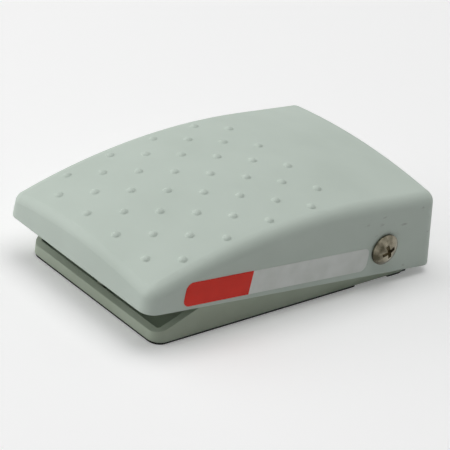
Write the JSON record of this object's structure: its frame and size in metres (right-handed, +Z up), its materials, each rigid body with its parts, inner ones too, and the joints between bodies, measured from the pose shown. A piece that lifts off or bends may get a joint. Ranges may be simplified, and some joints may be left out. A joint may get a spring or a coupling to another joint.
{
  "type": "industrial foot switch",
  "caption": "Low foot switch with a crowned, dimpled treadle cover hinged over a shallow base tray, on a return spring, working a lever snap switch inside.",
  "frame": {"origin": "centre of the base's underside, on the surface that the switch stands on", "axes": "+Z up, +X to the side that carries the label, -Y to the toe end, +Y to the hinge and cord end"},
  "size_m": [0.076, 0.1195, 0.0358],
  "materials": {
    "cover_plastic": "moulded, satin",
    "base_plastic": "moulded, satin",
    "black_rubber": "moulded",
    "grey_rubber": "moulded",
    "nickel_steel": "nickel plated",
    "zinc_steel": "zinc plated",
    "spring_steel": "drawn wire",
    "brass": "machined",
    "case_plastic": "moulded",
    "lid_plastic": "moulded",
    "terminal_brass": "stamped",
    "blade_copper": "stamped",
    "plunger_plastic": "moulded",
    "label_film": "printed film",
    "nylon": "moulded"
  },
  "bodies": {
    "base": {"base_tray": "base_plastic", "front_pad": "black_rubber", "rear_pad": "black_rubber", "cord_grommet": "black_rubber", "hinge_screws": "nickel_steel", "hinge_inserts": "brass", "toe_bumper": "grey_rubber", "rear_bumpers": "black_rubber", "return_spring": "spring_steel", "switch_case": "case_plastic", "switch_lid": "lid_plastic", "common_terminal": "terminal_brass", "open_terminal": "terminal_brass", "closed_terminal": "terminal_brass", "lever_pin": "zinc_steel", "switch_screws": "zinc_steel", "switch_nuts": "zinc_steel"},
    "treadle": {"treadle_cover": "cover_plastic", "side_label": "label_film", "pivot_bushes": "nylon", "adjusting_screw": "zinc_steel", "adjuster_locknut": "zinc_steel"},
    "lever": {"switch_lever": "zinc_steel"},
    "plunger": {"switch_plunger": "plunger_plastic"},
    "blade": {"contact_blade": "blade_copper"}
  },
  "joints": [
    {"name": "treadle_pivot", "type": "hinge", "parent": "base", "child": "treadle", "pos_m": [0, 0.0356, 0.0142], "axis": [1, 0, 0], "range_deg": [0, 5.7], "stiffness_Nm_per_rad": 4.6, "springref_deg": -8.59, "deforming": ["return_spring"]},
    {"name": "lever_pivot", "type": "hinge", "parent": "base", "child": "lever", "pos_m": [0, 0.028, 0.024], "axis": [1, 0, 0], "range_deg": [0, 7.9]},
    {"name": "plunger_slide", "type": "slide", "parent": "base", "child": "plunger", "axis": [0, 0, -1], "range_m": [0, 0.000694]},
    {"name": "blade_pivot", "type": "hinge", "parent": "base", "child": "blade", "pos_m": [0, 0.01, 0.0166], "axis": [1, 0, 0], "range_deg": [-3.06, 0]}
  ],
  "couplings": [
    {"joint": "lever_pivot", "follows": "treadle_pivot", "ratio": 1.3858},
    {"joint": "plunger_slide", "follows": "treadle_pivot", "m_per_rad": 0.006973},
    {"joint": "blade_pivot", "follows": "treadle_pivot", "ratio": -0.53589}
  ]
}
